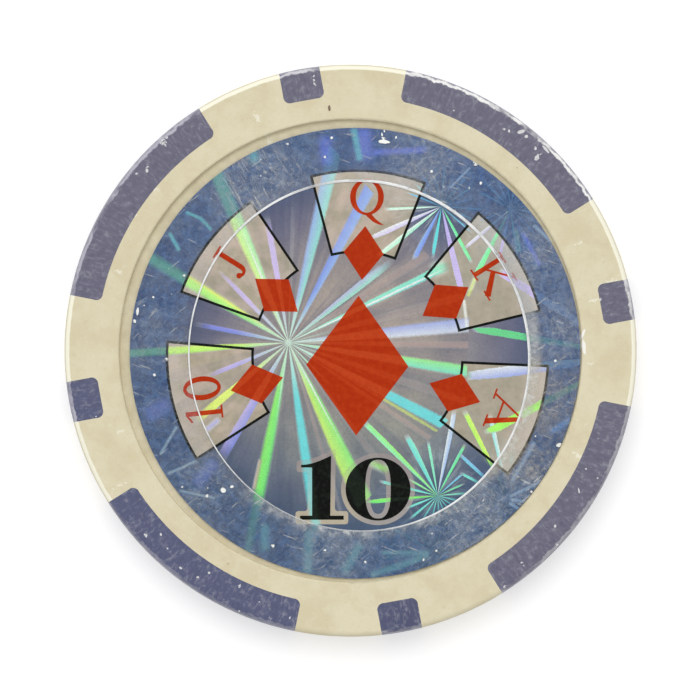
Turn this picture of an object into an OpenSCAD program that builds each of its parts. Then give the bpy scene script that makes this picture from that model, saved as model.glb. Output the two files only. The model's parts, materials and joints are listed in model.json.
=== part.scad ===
// Two-colour moulded poker chip. A steel weight is sealed in the pale body, eight dark
// edge spots are locked into its rim, and each face has a recess with a foil label,
// its adhesive and a clear ring film over the label's margin.
// The chip lies on its back face: the origin is the centre of that face, +Z is up and
// +Y is the top of the front label's print.

/* [Chip] */
// Diameter of the chip
chip_d = 40; // [36:0.5:48]
// Thickness of the chip
chip_t = 3.3; // [3:0.1:4.5]
// Rounding of the rim's two outer corners
edge_r = 0.4; // [0.15:0.05:0.8]

/* [Edge spots] */
// Depth of the spots from the chip's edge towards its centre
spot_depth = 2.25; // [1.6:0.05:3]
// Rounding of the spots' inner corners
spot_corner_r = 0.45; // [0.1:0.05:0.7]
// Angle that a long spot covers, in degrees
long_spot_angle = 46.7; // [38:0.1:56]
// Width of a short spot
short_spot_w = 2.85; // [2.2:0.05:4]
// Direction of the first short spot, in degrees from +X
spot_start = 10.4; // [0:0.1:45]

/* [Spot locks] */
// Thickness of the hidden flange that locks a spot into the rim
flange_t = 1.1; // [0.6:0.1:1.5]
// Reach of the flange beyond the spot's inner edge
flange_reach = 1.5; // [1.2:0.05:2]
// Diameter of the flange's holes, which the body's plastic fills
flow_hole_d = 0.8; // [0.4:0.05:1]
// Angle between the three holes of a long spot's flange, in degrees
flow_hole_angle = 14; // [6:0.5:16]

/* [Label recess] */
// Width of the rim's face between the spots and the recess lip
rim_land = 1.45; // [0.8:0.05:2]
// Rounding of the recess lip
lip_r = 0.15; // [0.05:0.05:0.3]
// Depth of the label's top below the rim's face
label_sink = 0.13; // [0.05:0.01:0.3]

/* [Labels] */
// Play all round between a centred label and the recess wall
label_play = 0.4; // [0.1:0.01:0.8]
// Gap that is left where the front label was slid towards the wall
label_wall_gap = 0.04; // [0.02:0.01:0.1]
// Angle of the direction in which the front label was slid, in degrees from +X
front_slide_angle = -29; // [-180:1:180]
// Thickness of the adhesive under a label
adhesive_t = 0.05; // [0.03:0.01:0.08]
// Margin by which the adhesive stays inside the label's edge
adhesive_margin = 0.15; // [0.05:0.05:0.5]
// Thickness of the foil label
label_t = 0.1; // [0.06:0.01:0.15]
// Thickness of the clear ring film over the label's margin
film_t = 0.12; // [0.05:0.01:0.15]
// Width of the ring film between the label's edge and a centred window
film_band = 3.68; // [2:0.01:6]
// Offset of the front window from its label's centre towards +X
front_window_x = 0.25; // [-1:0.05:1]
// Offset of the front window from its label's centre towards +Y
front_window_y = -0.2; // [-1:0.05:1]

/* [Weight] */
// Wall of plastic between the weight's edge and the spots' flanges
slug_wall = 1.55; // [0.6:0.05:4]
// Skin of plastic between the weight and each recess floor
slug_skin = 0.45; // [0.3:0.01:0.6]
// Rounding of the weight's blanked edges
slug_edge_r = 0.25; // [0.1:0.05:0.4]
// Diameter of the holes left by the mould pins that held the weight
pin_d = 1.6; // [1:0.1:3]
// Distance of the pins from the weight's edge
pin_inset = 5.7; // [2:0.1:9]
// Number of pins on each face
pin_count = 3; // [3:1:6]

/* [Hidden] */

$fn = 96;

cream = [0.87, 0.83, 0.71];
slate_violet = [0.34, 0.33, 0.44];
steel = [0.62, 0.63, 0.65];
clear_gum = [0.85, 0.82, 0.7];
foil_blue = [0.35, 0.45, 0.6];
clear_film = [0.8, 0.85, 0.9, 0.35];

// Long and short spots take turns, with the same number of each
spot_pairs = 4;
pair_pitch = 360 / spot_pairs;

// Length by which a cutting shape passes the face that it cuts
over = 1;
// Width by which a rounded corner swells past the edges that it joins, so that they cross
blend = 0.01;

// Radii, from the chip's edge inwards
chip_r = chip_d / 2;
cut_r = chip_r + over;
spot_in_r = chip_r - spot_depth;
spot_corner_pole = spot_in_r + spot_corner_r;
spot_corner_turn = asin(spot_corner_r / spot_corner_pole);
spot_side_r = sqrt(pow(spot_corner_pole, 2) - pow(spot_corner_r, 2));
long_inner_half = long_spot_angle / 2 - spot_corner_turn;
short_inner_half_w = short_spot_w / 2 - spot_corner_r;
flange_in_r = spot_in_r - flange_reach;
flow_hole_r = spot_in_r - flange_reach / 2;
recess_r = spot_in_r - rim_land - lip_r;
label_r = recess_r - label_play;
window_r = label_r - film_band;
slug_r = flange_in_r - slug_wall;
pin_circle_r = slug_r - pin_inset;

// Heights of the label's layers above the recess floor, and the recess that takes them
label_z = adhesive_t;
film_z = label_z + label_t;
recess_depth = film_z + film_t + label_sink;
slug_t = chip_t - 2 * (recess_depth + slug_skin);

// Places of the labels on their faces and of the windows on their labels
front_slide = label_play - label_wall_gap;
front_label_at = front_slide * [cos(front_slide_angle), sin(front_slide_angle)];
front_window_at = [front_window_x, front_window_y];
back_label_at = [0, 0];
back_window_at = [0, 0];

// Half section of a disc of radius r and height h, its outer corners rounded by c
module disc_section(r, h, c) {
    square([r - c, h]);
    translate([0, c])
        square([r, h - 2 * c]);
    for (z = [c, h - c])
        translate([r - c, z])
            circle(c);
}

// The chip's outer form, before the recesses and the spots
module chip_blank() {
    rotate_extrude()
        disc_section(chip_r, chip_t, edge_r);
}

// The weight, centred in the chip's thickness
module slug_form() {
    translate([0, 0, (chip_t - slug_t) / 2])
        rotate_extrude()
            disc_section(slug_r, slug_t, slug_edge_r);
}

// Places its children on the recess floor of a face, with +Z out of that face
module on_front_floor() {
    translate([0, 0, chip_t - recess_depth])
        children();
}

module on_back_floor() {
    translate([0, 0, recess_depth])
        mirror([0, 0, 1])
            children();
}

// Half section of the recess above its floor, with the rounded lip
module recess_section() {
    square([recess_r, recess_depth + over]);
    translate([recess_r, recess_depth - lip_r])
        difference() {
            square([lip_r, lip_r + over]);
            translate([lip_r, 0])
                circle(lip_r);
        }
}

// Space above a recess floor, and the pin holes that reach from it to the weight
module recess_cut() {
    rotate_extrude()
        recess_section();
    for (turn = [0 : 360 / pin_count : 359])
        rotate(turn)
            translate([pin_circle_r, 0, recess_depth - chip_t / 2])
                cylinder(d = pin_d, h = chip_t / 2);
}

// A ring's sector of height h, half degrees to each side of +X
module sector(r_in, r_out, half, h) {
    rotate(-half)
        rotate_extrude(angle = 2 * half)
            translate([r_in, 0])
                square([r_out - r_in, h]);
}

// A long spot of height h: sides that point to the centre, rounded inner corners
module long_spot_column(h) {
    sector(spot_side_r, cut_r, long_spot_angle / 2, h);
    sector(spot_in_r, cut_r, long_inner_half, h);
    for (side = [-1, 1])
        rotate(side * long_inner_half)
            translate([spot_corner_pole, 0])
                cylinder(r = spot_corner_r + blend, h = h);
}

// Plan of a short spot: parallel sides, rounded inner corners
module short_spot_plan() {
    translate([spot_corner_pole, -short_spot_w / 2])
        square([cut_r - spot_corner_pole, short_spot_w]);
    translate([spot_in_r, -short_inner_half_w])
        square([cut_r - spot_in_r, 2 * short_inner_half_w]);
    for (side = [-1, 1])
        translate([spot_corner_pole, side * short_inner_half_w])
            circle(spot_corner_r + blend);
}

// Flange of a spot: it runs in under the rim, with holes for the body's plastic
module long_flange() {
    difference() {
        sector(flange_in_r, spot_side_r, long_inner_half, flange_t);
        for (step = [-1 : 1])
            rotate(step * flow_hole_angle)
                translate([flow_hole_r, 0, -over])
                    cylinder(d = flow_hole_d, h = flange_t + 2 * over);
    }
}

module short_flange_plan() {
    difference() {
        translate([flange_in_r, -short_inner_half_w])
            square([spot_side_r - flange_in_r, 2 * short_inner_half_w]);
        translate([flow_hole_r, 0])
            circle(d = flow_hole_d);
    }
}

// A spot with its flange, running past the chip's faces and edge
module long_spot_form() {
    translate([0, 0, -over])
        long_spot_column(chip_t + 2 * over);
    translate([0, 0, (chip_t - flange_t) / 2])
        long_flange();
}

module short_spot_form() {
    translate([0, 0, -over])
        linear_extrude(chip_t + 2 * over)
            short_spot_plan();
    translate([0, 0, (chip_t - flange_t) / 2])
        linear_extrude(flange_t)
            short_flange_plan();
}

// Turns its children to the spot of that number, counted from 1
module at_short_spot(number) {
    rotate(spot_start + (number - 1) * pair_pitch)
        children();
}

module at_long_spot(number) {
    rotate(spot_start + (number - 0.5) * pair_pitch)
        children();
}

// One layer of a label: a disc of the recess's own stack
module layer(r, t, at, z) {
    translate([at[0], at[1], z])
        cylinder(r = r, h = t);
}

module adhesive_layer(label_at) {
    layer(label_r - adhesive_margin, adhesive_t, label_at, 0);
}

module label_layer(label_at) {
    layer(label_r, label_t, label_at, label_z);
}

module ring_film_layer(label_at, window_at) {
    difference() {
        layer(label_r, film_t, label_at, film_z);
        layer(window_r, film_t + 2 * over, label_at + window_at, film_z - over);
    }
}

module weight_slug() {
    color(steel)
        slug_form();
}

// Pale body: rim, core and the skins over the weight, moulded round the weight and spots
module body() {
    color(cream)
        difference() {
            chip_blank();
            slug_form();
            on_front_floor()
                recess_cut();
            on_back_floor()
                recess_cut();
            for (number = [1 : spot_pairs]) {
                at_long_spot(number)
                    long_spot_form();
                at_short_spot(number)
                    short_spot_form();
            }
        }
}

module long_spot(number) {
    color(slate_violet)
        intersection() {
            chip_blank();
            at_long_spot(number)
                long_spot_form();
        }
}

module short_spot(number) {
    color(slate_violet)
        intersection() {
            chip_blank();
            at_short_spot(number)
                short_spot_form();
        }
}

module front_adhesive() {
    color(clear_gum)
        on_front_floor()
            adhesive_layer(front_label_at);
}

module front_label() {
    color(foil_blue)
        on_front_floor()
            label_layer(front_label_at);
}

module front_ring_film() {
    color(clear_film)
        on_front_floor()
            ring_film_layer(front_label_at, front_window_at);
}

module back_adhesive() {
    color(clear_gum)
        on_back_floor()
            adhesive_layer(back_label_at);
}

module back_label() {
    color(foil_blue)
        on_back_floor()
            label_layer(back_label_at);
}

module back_ring_film() {
    color(clear_film)
        on_back_floor()
            ring_film_layer(back_label_at, back_window_at);
}

weight_slug();
body();
for (number = [1 : spot_pairs]) {
    long_spot(number);
    short_spot(number);
}
front_adhesive();
front_label();
front_ring_film();
back_adhesive();
back_label();
back_ring_film();
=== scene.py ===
"""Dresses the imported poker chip: worn plastics, a printed holographic label on each face, light and camera.

Plan sizes of the print are in millimetres, from the middle of a label, with the top of the print along +Y.
Places on the foil and the film are in millimetres from the middle of the chip.
"""
import json
import math

import bpy
from mathutils import Matrix, Vector


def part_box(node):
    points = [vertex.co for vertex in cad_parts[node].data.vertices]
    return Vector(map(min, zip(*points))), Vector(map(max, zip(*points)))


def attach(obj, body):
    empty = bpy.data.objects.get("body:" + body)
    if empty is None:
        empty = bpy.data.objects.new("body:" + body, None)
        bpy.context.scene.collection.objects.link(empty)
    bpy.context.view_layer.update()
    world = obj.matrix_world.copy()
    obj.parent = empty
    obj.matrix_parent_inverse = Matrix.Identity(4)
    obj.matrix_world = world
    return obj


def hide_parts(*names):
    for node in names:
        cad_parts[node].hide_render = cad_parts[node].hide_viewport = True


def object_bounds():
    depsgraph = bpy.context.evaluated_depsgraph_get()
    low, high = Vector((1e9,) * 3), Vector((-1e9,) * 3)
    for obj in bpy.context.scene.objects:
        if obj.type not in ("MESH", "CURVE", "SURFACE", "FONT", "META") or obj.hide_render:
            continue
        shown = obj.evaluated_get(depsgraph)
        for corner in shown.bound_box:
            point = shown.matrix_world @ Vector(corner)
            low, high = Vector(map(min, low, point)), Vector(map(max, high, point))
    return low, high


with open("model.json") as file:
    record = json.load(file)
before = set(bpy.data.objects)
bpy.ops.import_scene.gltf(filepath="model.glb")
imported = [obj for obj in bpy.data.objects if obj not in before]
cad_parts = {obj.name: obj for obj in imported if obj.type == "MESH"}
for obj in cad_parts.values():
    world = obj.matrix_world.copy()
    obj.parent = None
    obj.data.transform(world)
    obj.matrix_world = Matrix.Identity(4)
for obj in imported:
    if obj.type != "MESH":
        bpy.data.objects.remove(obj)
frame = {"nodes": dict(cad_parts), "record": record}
cad_low, cad_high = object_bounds()
nodes = frame["nodes"]

MM = 0.001
CHIP_T = cad_high.z / MM
CHIP_R = cad_high.x / MM


# Node helpers

def srgb(red, green, blue):
    """A colour as a picture shows it, 0 to 255, as the linear colour that a shader takes."""
    parts = [c / 255 for c in (red, green, blue)]
    return [c / 12.92 if c <= 0.04045 else ((c + 0.055) / 1.055) ** 2.4 for c in parts] + [1.0]


class Wiring:
    """A node tree, with short ways to add nodes and join them."""

    def __init__(self, tree):
        self.tree = tree
        place = self.add("ShaderNodeTexCoord").outputs["Object"]
        self.place = self.vector("MULTIPLY", place, (1 / MM,) * 3)
        self.x, self.y, self.z = self.split(self.place)
        self.ragged = None

    def add(self, kind, inputs=None, **settings):
        node = self.tree.nodes.new(kind)
        for name, value in settings.items():
            setattr(node, name, value)
        for name, value in (inputs or {}).items():
            self.join(node.inputs[name], value)
        return node

    def join(self, socket, value):
        if isinstance(value, bpy.types.NodeSocket):
            self.tree.links.new(value, socket)
        else:
            socket.default_value = value

    def math(self, operation, a, b=0.0):
        return self.add("ShaderNodeMath", {0: a, 1: b}, operation=operation).outputs[0]

    def times(self, *factors):
        product = factors[0]
        for factor in factors[1:]:
            product = self.math("MULTIPLY", product, factor)
        return product

    def plus(self, a, b):
        return self.math("ADD", a, b)

    def minus(self, a, b):
        return self.math("SUBTRACT", a, b)

    def most(self, a, b):
        return self.math("MAXIMUM", a, b)

    def vector(self, operation, a, b=(0, 0, 0)):
        node = self.add("ShaderNodeVectorMath", {0: a, 1: b}, operation=operation)
        return node.outputs["Value" if operation == "LENGTH" else "Vector"]

    def combined(self, x, y, z):
        return self.add("ShaderNodeCombineXYZ", {0: x, 1: y, 2: z}).outputs[0]

    def split(self, vector):
        return self.add("ShaderNodeSeparateXYZ", {0: vector}).outputs[:3]

    def ease(self, value, start, end, low=0.0, high=1.0):
        """Goes smoothly from low to high as the value goes from start to end."""
        inputs = {0: value, 1: start, 2: end, 3: low, 4: high}
        return self.add("ShaderNodeMapRange", inputs, interpolation_type="SMOOTHSTEP").outputs[0]

    def mix(self, factor, a, b, blend="MIX"):
        node = self.add("ShaderNodeMix", {0: factor, 6: a, 7: b}, data_type="RGBA", blend_type=blend)
        return node.outputs[2]

    def polar(self, middle=(0, 0)):
        """Direction in radians and distance in plan from a middle."""
        dx, dy = self.minus(self.x, middle[0]), self.minus(self.y, middle[1])
        distance = self.math("SQRT", self.plus(self.times(dx, dx), self.times(dy, dy)))
        return self.math("ARCTAN2", dy, dx), distance

    def along_rim(self, outwards):
        """The place as length along the rim, distance from the middle and height, the last two stretched."""
        angle, radius = self.polar()
        along, out = self.times(angle, CHIP_R), self.times(radius, outwards)
        return self.combined(along, out, self.times(self.z, outwards))

    def mapped(self, stretch=(1, 1, 1), turn=0.0, shift=(0, 0, 0)):
        """The place in a pattern that is moved, turned, and then stretched along its own axes."""
        inputs = {"Vector": self.place, "Location": shift, "Rotation": (0, 0, math.radians(turn))}
        inputs["Scale"] = [1 / s for s in stretch]
        return self.add("ShaderNodeMapping", inputs, vector_type="TEXTURE").outputs[0]

    def glow(self, middle, radius):
        """1 at a middle, falling smoothly to 0 at the radius."""
        return self.ease(self.polar(middle)[1], radius, 0.0)

    def fleck(self, middle, half_w, half_h, turn=0.0):
        """One ragged mark on the front face: 1 inside it. Its middle and half sizes are in millimetres."""
        self.ragged = self.ragged or self.times(self.noise(4.0, 3.0), 0.9)
        where = self.mapped((1 / half_w, 1 / half_h, 1), turn, (*middle, 0))
        across = self.vector("LENGTH", self.vector("MULTIPLY", where, (1, 1, 0)))
        inside = self.ease(self.plus(across, self.ragged), 1.5, 1.3)
        return self.times(inside, self.math("GREATER_THAN", self.z, CHIP_T / 2))

    def stroke(self, start, end, half):
        """1 on a straight stroke between two places in plan, with soft sides and ends."""
        along = Vector(end) - Vector(start)
        u, v, _ = self.split(self.mapped(turn=math.degrees(math.atan2(along.y, along.x)), shift=(*start, 0)))
        soft = half * 0.85
        ends = self.times(self.ease(u, -soft, soft), self.ease(u, along.length + soft, along.length - soft))
        return self.times(ends, self.ease(self.math("ABSOLUTE", v), half + soft, half - soft))

    def noise(self, scale, detail=3.0, rough=0.5, where=None):
        inputs = {"Vector": where or self.place, "Scale": scale, "Detail": detail, "Roughness": rough}
        return self.add("ShaderNodeTexNoise", inputs).outputs[0]

    def ridges(self, scale, width):
        """Thin winding lines, as on crumpled film."""
        off = self.math("ABSOLUTE", self.minus(self.noise(scale, 3.0, 0.6), 0.5))
        return self.ease(off, width, 0.0)

    def specks(self, scale, size, share, where=None):
        """Scattered marks: 1 inside one. Scale is cells per millimetre, share the part of them marked."""
        cells = self.add("ShaderNodeTexVoronoi", {"Vector": where or self.place, "Scale": scale})
        chance = self.split(cells.outputs["Color"])
        reach = self.times(chance[1], self.ease(self.noise(6.0, 2.0), 0.35, 0.65, 0.4 * size, 1.5 * size))
        dot = self.ease(self.minus(reach, cells.outputs["Distance"]), -0.02, 0.02)
        return self.times(dot, self.math("LESS_THAN", chance[0], share))

    def scratches(self, turn, density, fine, shift=(0, 0, 0)):
        """Straight hairlines along one direction, broken into short runs."""
        lines = self.noise(1.0, 2.0, 0.6, self.mapped((0.5, fine, fine), turn, shift))
        return self.ease(lines, 0.68 - density, 0.74 - density)

    def ramp(self, value, stops):
        node = self.add("ShaderNodeValToRGB", {0: value})
        stretch = node.color_ramp.elements
        for position, _ in stops[1:-1]:
            stretch.new(position)
        for stop, (position, colour) in zip(stretch, stops):
            stop.position, stop.color = position, colour
        return node

    def bump(self, height, strength, distance):
        inputs = {"Height": height, "Strength": strength, "Distance": distance}
        return self.add("ShaderNodeBump", inputs).outputs[0]


def new_finish(name, **constants):
    """A material, its wiring and its main shader's sockets, to some of which the constants go."""
    material = bpy.data.materials.new(name)
    material.use_nodes = True
    shader = material.node_tree.nodes["Principled BSDF"].inputs
    for socket, value in constants.items():
        shader[socket.replace("_", " ")].default_value = value
    return material, Wiring(material.node_tree), shader


# Plastics

RECESS_R = 16.15


def corner_band(w, inner, outer, wobble, waves=0.9):
    """1 on a band round the rim's rounded corners. Its two sides are in millimetres from the chip's edge."""
    off = w.minus(CHIP_R, w.polar()[1])
    off = w.plus(off, w.times(w.minus(w.noise(waves, 4.0, 0.6), 0.5), wobble))
    height = w.math("ABSOLUTE", w.minus(w.z, CHIP_T / 2))
    band = w.times(w.ease(off, inner + 0.05, inner - 0.05), w.ease(off, outer - 0.05, outer + 0.05))
    return w.times(band, w.ease(height, CHIP_T / 2 - 0.4, CHIP_T / 2 - 0.3))


def lit_side(w, start, end, least):
    """1 on the upper side of the rim, towards the lamp, where the painted edge highlights are strongest,
    falling to the least on the other side.
    """
    along = w.plus(w.times(w.x, 0.35), w.times(w.y, -0.94))
    return w.ease(along, start, end, 1.0, least)


def cream_plastic():
    material, w, shader = new_finish("cream_plastic", Specular_IOR_Level=0.3)
    mottle = w.noise(0.45, 4.0, 0.6)
    colour = w.mix(w.ease(mottle, 0.35, 0.7), srgb(226, 217, 187), srgb(217, 206, 172))
    grain = w.noise(5.0, 3.0, 0.6)
    colour = w.mix(w.ease(grain, 0.52, 0.8, 0.0, 0.3), colour, srgb(194, 180, 146))
    pale = w.ease(w.noise(2.8, 4.0, 0.65), 0.56, 0.76, 0.0, 0.4)
    colour = w.mix(pale, colour, srgb(238, 231, 207))
    rim = w.along_rim(0.4)
    colour = w.mix(w.times(w.specks(0.8, 0.2, 0.3, rim), 0.7), colour, srgb(244, 239, 219))
    colour = w.mix(w.times(w.specks(0.7, 0.1, 0.2), 0.5), colour, srgb(150, 136, 108))
    # Painted shade: the exposed floor of the recess round the label is darkened, in noisy patches
    depth = w.minus(CHIP_T / 2, w.math("ABSOLUTE", w.minus(w.z, CHIP_T / 2)))
    recess_shade = w.times(w.ease(w.polar()[1], RECESS_R + 0.05, RECESS_R - 0.15), w.ease(depth, 0.05, 0.25))
    recess_shade = w.times(recess_shade, w.ease(w.noise(1.5, 3.0), 0.3, 0.7, 0.15, 0.45))
    colour = w.mix(recess_shade, colour, srgb(184, 172, 144))
    # Painted highlight on the rounded rim corner, strongest on the upper side towards the lamp
    edge_highlight = w.times(corner_band(w, 0.36, 0.08, 0.1), lit_side(w, 11.0, 17.0, 0.0))
    colour = w.mix(edge_highlight, colour, srgb(252, 249, 228))
    curl = w.most(w.fleck((16.22, 1.15), 0.1, 0.42, -22), w.fleck((16.28, 0.3), 0.15, 0.5, 8))
    colour = w.mix(curl, colour, srgb(250, 248, 240))
    colour = w.mix(w.fleck((-1.48, 16.93), 0.1, 0.24, 0), colour, srgb(122, 104, 84))
    w.join(shader["Base Color"], colour)
    w.join(shader["Roughness"], w.ease(w.noise(1.6, 4.0), 0.3, 0.7, 0.42, 0.58))
    w.join(shader["Normal"], w.bump(w.noise(7.0, 3.0), 0.25, 0.00002))
    return material


# Pale chips in the spots on the front: middle, half sizes, turn
SPOT_CHIPS = [
    ((11.92, 15.29), 0.3, 0.13, 15), ((12.27, 14.97), 0.13, 0.12, 0), ((11.07, 15.35), 0.08, 0.12, 0),
    ((13.64, 14.06), 0.34, 0.09, -50), ((-14.22, 12.57), 0.1, 0.14, 10), ((-14.95, 12.36), 0.1, 0.06, 20),
    ((-13.25, -12.83), 0.08, 0.12, 20), ((-11.86, -15.18), 0.12, 0.08, -30), ((-9.88, -15.5), 0.09, 0.09, 0),
    ((15.94, -9.78), 0.06, 0.2, 10), ((14.28, -12.24), 0.08, 0.1, 0), ((14.44, -13.57), 0.1, 0.08, 20),
]


def spot_plastic():
    material, w, shader = new_finish("spot_plastic", Specular_IOR_Level=0.3)
    rim = w.along_rim(0.35)
    streaks = w.noise(4.5, 4.0, 0.65, rim)
    shade = w.ease(w.plus(w.times(w.x, -0.57), w.times(w.y, -0.82)), 5.0, 15.0)
    colour = w.mix(shade, srgb(104, 102, 121), srgb(82, 87, 118))
    colour = w.mix(w.times(w.glow((3.7, -18.8), 3.2), 0.6), colour, srgb(62, 66, 98))
    blotch = w.noise(2.2, 5.0, 0.7)
    colour = w.mix(w.ease(blotch, 0.25, 0.48, 0.45, 0.0), colour, srgb(74, 72, 95))
    colour = w.mix(w.ease(streaks, 0.28, 0.5, 0.35, 0.0), colour, srgb(76, 74, 97))
    colour = w.mix(w.ease(streaks, 0.5, 0.78, 0.0, 0.5), colour, srgb(164, 163, 175))
    colour = w.mix(w.ease(blotch, 0.52, 0.72, 0.0, 0.55), colour, srgb(158, 158, 170))
    flecks = w.most(w.specks(1.0, 0.2, 0.22, rim), w.specks(1.4, 0.16, 0.2))
    for chip in SPOT_CHIPS:
        flecks = w.most(flecks, w.fleck(*chip))
    colour = w.mix(w.times(flecks, 0.85), colour, srgb(228, 228, 228))
    # Painted highlight: the outermost rounded edge of the spots is lightened to grey-lilac all round
    colour = w.mix(w.times(corner_band(w, 0.12, -0.1, 0.1), 0.7), colour, srgb(176, 175, 187))
    # Edge wear and painted highlight: a broken pale strip on the rounded corner, strongest on the upper side
    # and lightest towards the right
    broken = w.ease(w.noise(0.35, 3.0, 0.6), 0.36, 0.52, 0.15, 1.0)
    wear_and_highlight = w.times(corner_band(w, 0.3, 0.1, 0.5, 1.8), broken, lit_side(w, -4.0, 13.0, 0.3))
    bright = w.mix(w.ease(w.x, -9.0, 3.0), srgb(184, 182, 194), srgb(246, 245, 243))
    colour = w.mix(wear_and_highlight, colour, bright)
    w.join(shader["Base Color"], colour)
    w.join(shader["Roughness"], w.ease(streaks, 0.3, 0.7, 0.38, 0.52))
    w.join(shader["Normal"], w.bump(w.plus(streaks, blotch), 0.2, 0.00002))
    return material


def sheet_steel():
    material, w, shader = new_finish("sheet_steel", Metallic=1.0)
    brushing = w.noise(3.0, 4.0, 0.6, w.mapped((0.08, 2.5, 1.0), 12))
    w.join(shader["Base Color"], w.mix(brushing, srgb(172, 174, 178), srgb(206, 208, 210)))
    w.join(shader["Roughness"], w.ease(brushing, 0.3, 0.7, 0.3, 0.48))
    return material


def label_gum():
    material, w, shader = new_finish("label_gum", Specular_IOR_Level=0.3, Roughness=0.5)
    streaks = w.noise(1.2, 4.0, 0.6, w.mapped((0.3, 2.0, 1.0), 30))
    w.join(shader["Base Color"], w.mix(streaks, srgb(214, 204, 172), srgb(228, 221, 196)))
    return material


# Holographic foil

LIME, YELLOW, GREEN = srgb(160, 255, 84), srgb(228, 255, 100), srgb(88, 244, 122)
MINT, CYAN, SKY = srgb(146, 248, 204), srgb(96, 226, 228), srgb(150, 192, 246)
BLUE, VIOLET, LAVENDER = srgb(106, 136, 232), srgb(156, 156, 244), srgb(200, 186, 244)
PALE, ROSE, TAN, JADE = srgb(242, 250, 244), srgb(188, 160, 151), srgb(160, 149, 145), srgb(96, 218, 134)
TEAL, DEEP, STEEL, SALMON = srgb(92, 178, 186), srgb(92, 112, 206), srgb(140, 166, 182), srgb(226, 184, 168)
SEA, FROST = srgb(80, 138, 152), srgb(134, 164, 196)
INDIGO, AZURE = srgb(78, 102, 172), srgb(84, 134, 190)

# The main burst's rays: direction and half the width in degrees, colour on the clockwise side and on the
# other side, and length in millimetres. The long rays fade towards their sides and narrow towards their ends.
MAIN_BURST = (-4.34, 0.57)
LONG_RAYS = [
    (-176.3, 4.6, YELLOW, LIME, 22), (-101, 6.0, LIME, GREEN, 21), (-81.5, 5.2, CYAN, CYAN, 22),
    (-64.6, 6.3, YELLOW, GREEN, 30), (-27.6, 3.8, CYAN, CYAN, 30), (-9.1, 4.0, CYAN, LIME, 28),
    (5.6, 5.0, PALE, BLUE, 28), (25.8, 2.7, CYAN, MINT, 30), (62.2, 4.0, SKY, BLUE, 30),
    (76.4, 4.8, MINT, VIOLET, 29), (113, 6.2, MINT, YELLOW, 24), (148.6, 6.8, YELLOW, GREEN, 20),
]
SHORT_RAYS = [
    (-157, 3.4, LAVENDER, VIOLET, 6.6), (-139.8, 3.8, YELLOW, YELLOW, 8.9),
    (-120.2, 4.4, LAVENDER, BLUE, 9.8), (-45.5, 2.5, MINT, GREEN, 4.5), (38.6, 3.6, MINT, LAVENDER, 9.6),
    (99.5, 3.2, LAVENDER, LAVENDER, 9.2), (134.2, 3.2, LAVENDER, LAVENDER, 7.4),
    (168.6, 3.6, VIOLET, BLUE, 6.9),
]
# Faint rays that lie under them
GLEAMS = [
    (-72.6, 2.0, TAN, ROSE, 22), (-53, 3.0, TAN, TAN, 22), (-34.2, 1.8, ROSE, ROSE, 28),
    (-30.5, 1.4, YELLOW, YELLOW, 30), (-18.5, 3.2, TAN, TAN, 24), (-0.8, 2.6, ROSE, ROSE, 26),
    (14.8, 3.4, TAN, TAN, 24), (32.3, 3.4, TAN, ROSE, 24), (88, 3.0, TAN, TAN, 14),
]
# Bright edges and cores of the widest rays
RAY_EDGES = [
    (-99, 1.5, PALE, MINT, 14), (-62.4, 1.6, PALE, PALE, 15), (-27.2, 1.3, PALE, PALE, 16),
    (25.2, 1.1, PALE, PALE, 18), (112, 1.6, PALE, PALE, 16), (146.2, 2.0, YELLOW, YELLOW, 16),
]
# Shares of a ray's half width and of its length there
PEAK = ((-1, 0), (0, 1), (1, 0))
BLUNT = ((-1, 0), (-0.55, 1), (0.55, 1), (1, 0))
# The main burst's rays, the lowest first: profile, softness of their ends, greatest strength
RAY_LAYERS = [
    (GLEAMS, PEAK, 0.42, 0.5), (LONG_RAYS, PEAK, 0.42, 0.92), (SHORT_RAYS, BLUNT, 2.0, 0.85),
    (RAY_EDGES, PEAK, 0.42, 0.7),
]
# The main burst's weight against the others, and the length that its rays' lengths are shares of
MAIN_WEIGHT = 100
MAIN_REACH = 30
# Most stops that a colour ramp holds
RAMP_STOPS = 32
# Degrees between rays that are spread evenly
RAY_STEP = 18


def spread(first, lengths, half, hues):
    """Evenly spread rays from the first direction on, with their lengths, taking the hues in turn."""
    return [
        (first + RAY_STEP * i, half, hues[i % len(hues)], hues[(i + 1) % len(hues)], length)
        for i, length in enumerate(lengths)
    ]


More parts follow.
